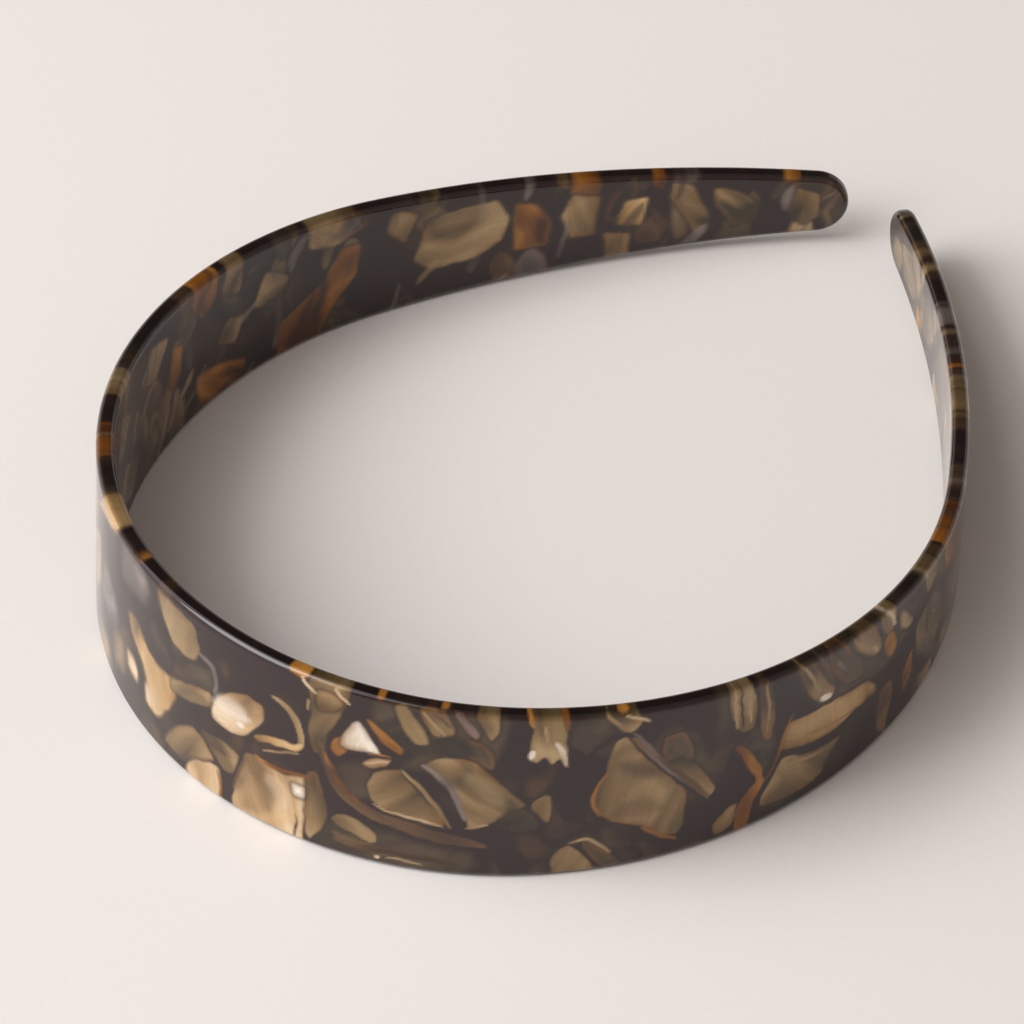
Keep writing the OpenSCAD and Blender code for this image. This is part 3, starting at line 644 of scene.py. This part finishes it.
def marks(work):
    """Dark and light folds across the modelled chips."""
    rng = random.Random(23)
    for k in range(FILLERS):
        s, z = rng.uniform(-ENDS[3], ENDS[3]), rng.uniform(-14, 14)
        length, width, lean = rng.uniform(3, 9), rng.uniform(0.5, 1.8), rng.gauss(1.9, 0.3)
        tint = rng.choice(("dark", "dark", "ghost", "tan", "lilac"))
        share, bow = rng.uniform(0.3, 0.8), rng.uniform(-1, 1)
        if PAINTED_FROM - MARGIN < s < PAINTED_TO + MARGIN:
            continue
        x, y = math.cos(lean) * length / 2, math.sin(lean) * length / 2
        line = [(s - x, z - y), (s + bow, z), (s + x, z + y)]
        work.stroke(tint, line, width, k + 500.5, 0.2, soft=0.4, share=share)


EDGE_DARK = 0.6    # the long edges look through more of the dark matrix


def fields(s, z, n, heights):
    """Per-point attributes of the chip pattern."""
    work = Paint(s, z, n)
    work.cells()
    fillers(work)
    rng = random.Random(7)
    tints = {"pearl": ("olive", "tan", "olive", "gold"), "cream": ("cream", "cream", "tan"),
             "amber": ("amber",)}
    for c in chips:
        tint, draw = tints[c.kind][int(c.seed * 7) % len(tints[c.kind])], rng.random()
        if PAINTED_FROM < c.centre[0] < PAINTED_TO:
            continue
        work.patch(tint, c.loops, c.seed, c.tone * 0.8 - 0.2, math.atan2(c.dir[1], c.dir[0]), 0.45,
                   0.25 + 0.2 * draw, grow=CHIP_GROW, soft=0.4 if c.centre[0] < 0 else 0.22)
    marks(work)
    for k, (tint, tone, pts) in enumerate(GROUND):
        work.patch(tint, [pts], k + 30.5, tone, 0.6, 0.2, 0.3, soft=SMUDGE_SOFT, rim=0.0, rust=0.0,
                   share=0.85)
    work.patch("amber", [[(107, 13), (119, 12.4), (120, 18), (106, 18)]], 61.5, 1.2, soft=0.3)
    for k, (tint, tone, angle, slope, pts) in enumerate(PATCHES):
        work.patch(tint, [pts], k + 0.5, tone, math.radians(angle), slope, 0.2)
    for k, (tint, tone, width, pts) in enumerate(STROKES):
        work.stroke(tint, pts, width, k + 70.5, tone)
    for tint, tone, width, share, pts in CLOUDS:
        work.stroke(tint, pts, width, 3.5, tone, soft=SMUDGE_SOFT, share=share)
    glow = ease(work.colour[:, 0] / work.colour[:, 2], 8.0, 14.0)       # amber is clear, so it stays bright
    on_edge = ease(HALF - np.abs(n), 0.15, 0.5) * (np.abs(z) > heights - CORNER)
    edge = 1 - EDGE_DARK * (1 - 0.8 * glow) * on_edge
    work.colour *= edge[:, None]
    return {"tint": work.colour, "flake": work.flake * edge, "grain": work.grain,
            "band": np.stack([s, z, n], 1)}


# ---------------------------------------------------------------- skins
FINE, COARSE = 0.25, 0.42     # mesh pitch along the band, on the crown and on the rest
OUT_ROWS, IN_ROWS = 108, 72   # rows from edge to edge of the outer and the inner face
RIM_ARC = 5       # steps of each rounded corner
RIM_FLAT = 3      # and of the flat between them
TIP_STEPS = 24    # columns round a tip


def stations(a, b, tip, step):
    """(Length along the band, half height of the faces' flat part, angle round the tip) of each column."""
    flat_end = ENDS[3] - TIP_R if tip else b
    count = max(2, round((flat_end - a) / step) + 1)
    out = [(s, half_height(middle(s)[1]) - CORNER, 0.0) for s in np.linspace(a, flat_end, count)]
    if tip:
        r = TIP_R - CORNER
        h0 = out[-1][1]
        for f in np.linspace(0, math.pi / 2, TIP_STEPS + 1)[1:]:
            out.append((flat_end + r * math.sin(f), h0 * math.cos(f), f))
    return out


def skin(name, side, a, b, tip=False):
    """One closed stretch of the band, from length a to b, on the side 1 or -1, with rounded long edges."""
    cols = stations(a, b, tip, COARSE if tip else FINE)
    # the rim's profile: (distance out of the faces' flat part, distance from the wall's middle, angle)
    rim = []
    for i in range(1, RIM_ARC + 1):
        f = math.pi / 2 * i / RIM_ARC
        rim.append((CORNER * math.sin(f), HALF - CORNER + CORNER * math.cos(f), f))
    for i in range(1, RIM_FLAT):
        rim.append((CORNER, (HALF - CORNER) * (1 - 2 * i / RIM_FLAT), math.pi / 2))
    rim += [(o, -n, math.pi - f) for o, n, f in rim[RIM_ARC - 1::-1]][:RIM_ARC]
    verts, normals, sz, tall = [], [], [], []
    ring = 0
    for s, h, f in cols:
        # outline normal in (s, z) at the upper end of this column
        if f:
            ns, nz = math.sin(f), math.cos(f)
        else:
            slope = (half_height(middle(min(s + 0.5, ENDS[3]))[1]) - half_height(middle(s)[1])) / 0.5
            ns, nz = -slope / math.hypot(1, slope), 1 / math.hypot(1, slope)
            ns = 0.0 if s < 1 else ns
        col = []
        for j in range(OUT_ROWS + 1):       # outer face, upwards
            col.append((s, -h + 2 * h * j / OUT_ROWS, HALF, 0, 0, 1))
        for o, n, g in rim:                 # over the upper rim
            col.append((s + o * ns, h + o * nz, n, math.sin(g) * ns, math.sin(g) * nz, math.cos(g)))
        for j in range(1, IN_ROWS + 1):     # inner face, downwards
            col.append((s, h - 2 * h * j / IN_ROWS, -HALF, 0, 0, -1))
        for o, n, g in rim[::-1][1:]:       # over the lower rim
            col.append((s + o * ns, -h - o * nz, n, math.sin(g) * ns, -math.sin(g) * nz, math.cos(g)))
        ring = len(col)
        for cs, cz, cn, as_, az, an in col:
            t = turn(min(cs, ENDS[3]))
            out, tang = outward(t), np.array([math.cos(math.radians(t)), math.sin(math.radians(t))])
            m = middle(min(cs, ENDS[3])) + out * cn
            verts.append((m[0] * side, m[1], cz))
            nn = out * an + tang * as_
            normals.append((nn[0] * side, nn[1], az))
            sz.append((cs * side, cz, cn))
            tall.append(h + CORNER)
    verts, sz = np.array(verts), np.array(sz)
    normals = np.array(normals)
    normals = np.stack([normals[:, 0], normals[:, 1] * COS + normals[:, 2] * SIN,
                        -normals[:, 1] * SIN + normals[:, 2] * COS], 1)
    normals /= np.linalg.norm(normals, axis=1)[:, None]
    faces = []
    for i in range(len(cols) - 1):
        for j in range(ring):
            k = (j + 1) % ring
            q = [i * ring + j, (i + 1) * ring + j, (i + 1) * ring + k, i * ring + k]
            faces.append(q if side > 0 else q[::-1])
    cap0, cap1 = list(range(ring)), list(range((len(cols) - 1) * ring, len(cols) * ring))
    faces.append(cap0 if side > 0 else cap0[::-1])
    if not tip:
        faces.append(cap1[::-1] if side > 0 else cap1)
    me = bpy.data.meshes.new(name)
    me.from_pydata(place(verts).tolist(), [], faces)
    me.validate()
    for key, values in fields(sz[:, 0], sz[:, 1], sz[:, 2], np.array(tall)).items():
        if values.ndim == 1:
            me.attributes.new(key, "FLOAT", "POINT").data.foreach_set("value", values.astype(np.float32))
        else:
            flat = values.astype(np.float32).ravel()
            me.attributes.new(key, "FLOAT_VECTOR", "POINT").data.foreach_set("vector", flat)
    me.shade_smooth()
    loop_normals = np.zeros((len(me.loops), 3))
    vi = np.zeros(len(me.loops), int)
    me.loops.foreach_get("vertex_index", vi)
    loop_normals[:] = normals[vi]
    for poly in me.polygons:
        if poly.loop_total > 4:
            loop_normals[poly.loop_start:poly.loop_start + poly.loop_total] = poly.normal
    me.normals_split_custom_set(loop_normals.tolist())
    obj = bpy.data.objects.new(name, me)
    bpy.context.scene.collection.objects.link(obj)
    return obj


# ---------------------------------------------------------------- material
class Nodes:
    """Short calls for building a node tree."""

    def __init__(self, mat):
        self.nt = mat.node_tree
        self.nt.nodes.clear()

    def add(self, kind, **props):
        n = self.nt.nodes.new(kind)
        for k, v in props.items():
            setattr(n, k, v)
        return n

    def put(self, socket, value):
        if isinstance(value, bpy.types.NodeSocket):
            self.nt.links.new(value, socket)
        elif value is not None:
            socket.default_value = value

    def attr(self, name, vector=False):
        n = self.add("ShaderNodeAttribute", attribute_name=name)
        return n.outputs["Vector" if vector else "Fac"]

    def math(self, op, a, b=None, clamp=False):
        n = self.add("ShaderNodeMath", operation=op, use_clamp=clamp)
        self.put(n.inputs[0], a)
        if b is not None:
            self.put(n.inputs[1], b)
        return n.outputs[0]

    def step(self, x, lo, hi, to0=0.0, to1=1.0):
        n = self.add("ShaderNodeMapRange", interpolation_type="SMOOTHSTEP")
        for k, v in zip(("Value", "From Min", "From Max", "To Min", "To Max"), (x, lo, hi, to0, to1)):
            self.put(n.inputs[k], v)
        return n.outputs[0]

    def scaled(self, vector, scale, offset=(0, 0, 0)):
        n = self.add("ShaderNodeVectorMath", operation="MULTIPLY_ADD")
        self.put(n.inputs[0], vector)
        self.put(n.inputs[1], scale)
        self.put(n.inputs[2], offset)
        return n.outputs[0]

    def noise(self, vector, scale=1.0, detail=2.0, rough=0.5, distortion=0.0):
        n = self.add("ShaderNodeTexNoise")
        self.put(n.inputs["Vector"], vector)
        for k, v in (("Scale", scale), ("Detail", detail), ("Roughness", rough), ("Distortion", distortion)):
            n.inputs[k].default_value = v
        return n.outputs["Fac"]

    def mix(self, fac, a, b):
        n = self.add("ShaderNodeMix", data_type="RGBA")
        self.put(n.inputs[0], fac)
        for i, c in ((6, a), (7, b)):
            self.put(n.inputs[i], c if isinstance(c, bpy.types.NodeSocket) else (*c, 1.0))
        return n.outputs[2]


def acetate():
    """Polished acetate: the painted colour with fine streaks, pearl flakes in it, and a clear gloss."""
    mat = bpy.data.materials.new("chip_acetate")
    mat.use_nodes = True
    N = Nodes(mat)
    band, grain = N.attr("band", True), N.attr("grain", True)
    flake = N.attr("flake")
    tint = N.add("ShaderNodeAttribute", attribute_name="tint").outputs["Color"]

    # streaks run along each chip's own direction
    streak = N.noise(N.scaled(grain, (0.18, 1.6, 1.0)), 1.0, 3.0, 0.55)
    fine = N.noise(N.scaled(grain, (0.7, 6.0, 1.0)), 1.0, 2.0, 0.6)
    speck = N.noise(band, 2.4, 3.0, 0.6)
    gain = N.math("ADD", N.math("MULTIPLY", N.math("SUBTRACT", streak, 0.5), 0.45), 1.0)
    gain = N.math("ADD", gain, N.math("MULTIPLY", N.math("SUBTRACT", fine, 0.5), 0.22))
    gain = N.math("ADD", gain, N.math("MULTIPLY", N.math("SUBTRACT", speck, 0.5), 0.25))
    scale = N.add("ShaderNodeVectorMath", operation="SCALE")
    N.put(scale.inputs[0], tint)
    N.put(scale.inputs["Scale"], gain)

    bsdf = N.add("ShaderNodeBsdfPrincipled")
    out = N.add("ShaderNodeOutputMaterial")
    N.put(bsdf.inputs["Base Color"], scale.outputs[0])
    N.put(bsdf.inputs["Metallic"], flake)
    N.put(bsdf.inputs["Roughness"], N.step(streak, 0.3, 0.7, 0.30, 0.5))
    bsdf.inputs["Specular IOR Level"].default_value = 0.0
    bsdf.inputs["Coat Weight"].default_value = 1.0
    bsdf.inputs["Coat Roughness"].default_value = 0.04
    bsdf.inputs["Coat IOR"].default_value = 1.53
    bsdf.inputs["Sheen Weight"].default_value = 0.02
    bsdf.inputs["Sheen Roughness"].default_value = 0.35
    bsdf.inputs["Sheen Tint"].default_value = (1.0, 0.95, 0.93, 1.0)
    bump = N.add("ShaderNodeBump")
    bump.inputs["Strength"].default_value = 0.35
    bump.inputs["Distance"].default_value = 0.0005
    N.put(bump.inputs["Height"], N.math("MULTIPLY", streak, flake))
    N.put(bsdf.inputs["Normal"], bump.outputs[0])
    N.put(out.inputs["Surface"], bsdf.outputs[0])
    return mat


ACETATE = acetate()

# ---------------------------------------------------------------- the four skins
SPLIT = 80.0                       # seam between the skins of one side, inside the arm
SHOULDER = (8.0, 72.0)             # stretch round the shoulder hinge; the loop below takes it but does not use it
ELBOW = (88.0, 166.0)              # and round the elbow hinge, likewise not used


for side, word in ((-1, "left"), (1, "right")):
    crown = skin(f"{word}_crown_skin", side, 0.0, SPLIT)
    tip = skin(f"{word}_tip_skin", side, SPLIT, ENDS[3], tip=True)
    for obj, body_a, body_b, (a, b) in ((crown, "crown", f"{word}_arm", SHOULDER),
                                        (tip, f"{word}_arm", f"{word}_tip", ELBOW)):
        obj.data.materials.append(ACETATE)
        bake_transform(obj)
    kinds = [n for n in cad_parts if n.startswith(f"{word}_arm_") or n.startswith(f"{word}_tip_")]
    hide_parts(*sorted(kinds))
    if side < 0:
        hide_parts(*sorted(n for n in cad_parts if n.startswith("crown_")))

# ---------------------------------------------------------------- stage, light and camera
def pale_floor():
    mat = bpy.data.materials.new("pale_paper")
    mat.use_nodes = True
    N = Nodes(mat)
    tc = N.add("ShaderNodeTexCoord")
    bsdf, out = N.add("ShaderNodeBsdfPrincipled"), N.add("ShaderNodeOutputMaterial")
    grain = N.noise(tc.outputs["Object"], 900.0, 2.0)
    N.put(bsdf.inputs["Base Color"], N.mix(grain, (0.79, 0.762, 0.742), (0.82, 0.792, 0.772)))
    bsdf.inputs["Roughness"].default_value = 0.85
    bsdf.inputs["Specular IOR Level"].default_value = 0.2
    N.put(out.inputs["Surface"], bsdf.outputs[0])
    return mat


def cove():
    """A round floor with a wall that curves up all round it."""
    radius, bend, top, around = 2.2, 0.5, 0.15, 128
    profile = [(0.0, 0.0), (0.3, 0.0), (1.0, 0.0), (radius - bend, 0.0)]
    profile += [(radius - bend + bend * math.sin(f), bend - bend * math.cos(f))
                for f in np.linspace(0, math.pi / 2, 17)[1:]]
    profile.append((radius, bend + top))
    verts, faces = [(0.0, 0.0, 0.0)], []
    for r, z in profile[1:]:
        angles = [2 * math.pi * i / around for i in range(around)]
        verts += [(r * math.cos(f), r * math.sin(f), z) for f in angles]
    for i in range(around):
        faces.append((0, 1 + i, 1 + (i + 1) % around))
        for k in range(len(profile) - 2):
            a, b = 1 + k * around, 1 + (k + 1) * around
            faces.append((a + i, b + i, b + (i + 1) % around, a + (i + 1) % around))
    me = bpy.data.meshes.new("studio_floor")
    me.from_pydata(verts, [], faces)
    me.shade_smooth()
    obj = bpy.data.objects.new("studio_floor", me)
    bpy.context.scene.collection.objects.link(obj)
    me.materials.append(pale_floor())


cove()

VIEW_AZ, VIEW_EL, VIEW_DIST = math.radians(36.39), math.radians(42.62), 1.1242
TARGET = Vector((-0.00844, -0.00380, 0.0))
SENSOR, LENS = 36.0, 281.25
RIGHT = Vector((math.cos(VIEW_AZ), math.sin(VIEW_AZ), 0))      # the camera's right
AWAY = Vector((-math.sin(VIEW_AZ), math.cos(VIEW_AZ), 0))      # level, away from the camera
UP = Vector((0, 0, 1))


def lamp(name, towards, distance, size, power, colour, size_y=None):
    """An area light in the direction towards, (right, away, up) as the camera sees it, facing the band."""
    d = (RIGHT * towards[0] + AWAY * towards[1] + UP * towards[2]).normalized()
    data = bpy.data.lights.new(name, "AREA")
    data.shape, data.size, data.size_y = "RECTANGLE", size, size_y or size
    data.energy, data.color = power, colour
    obj = bpy.data.objects.new(name, data)
    obj.location = d * distance
    obj.rotation_mode = "QUATERNION"
    obj.rotation_quaternion = (-d).to_track_quat("-Z", "Y")
    bpy.context.scene.collection.objects.link(obj)


WINDOW = (-0.92, -0.24, 0.84)
lamp("window", WINDOW, 1.6, 2.1, 22.5, (1.0, 0.992, 0.985))
lamp("window_core", WINDOW, 1.5, 0.9, 13.8, (1.0, 0.992, 0.985))

world = bpy.data.worlds.new("studio")
world.use_nodes = True
sky = Nodes(world)
background, sky_out = sky.add("ShaderNodeBackground"), sky.add("ShaderNodeOutputWorld")
sky.put(sky_out.inputs["Surface"], background.outputs[0])
along = sky.add("ShaderNodeVectorMath", operation="DOT_PRODUCT")
sky.put(along.inputs[0], sky.add("ShaderNodeTexCoord").outputs["Generated"])
along.inputs[1].default_value = (AWAY * math.cos(VIEW_EL) + UP * math.sin(VIEW_EL))
background.inputs["Color"].default_value = (1.0, 0.86, 0.79, 1.0)
sky.put(background.inputs["Strength"], sky.step(along.outputs["Value"], 0.55, 0.95, 0.33, 0.08))
bpy.context.scene.world = world
bpy.context.scene.view_settings.view_transform = "Standard"

camera = bpy.data.objects.new("camera", bpy.data.cameras.new("camera"))
camera.data.sensor_width, camera.data.lens = SENSOR, LENS
camera.data.clip_start, camera.data.clip_end = 0.05, 20.0
BACK = -AWAY * math.cos(VIEW_EL) + UP * math.sin(VIEW_EL)
camera.location = TARGET + BACK * VIEW_DIST
camera.rotation_mode = "QUATERNION"
camera.rotation_quaternion = (-BACK).to_track_quat("-Z", "Y")
bpy.context.scene.collection.objects.link(camera)
bpy.context.scene.camera = camera
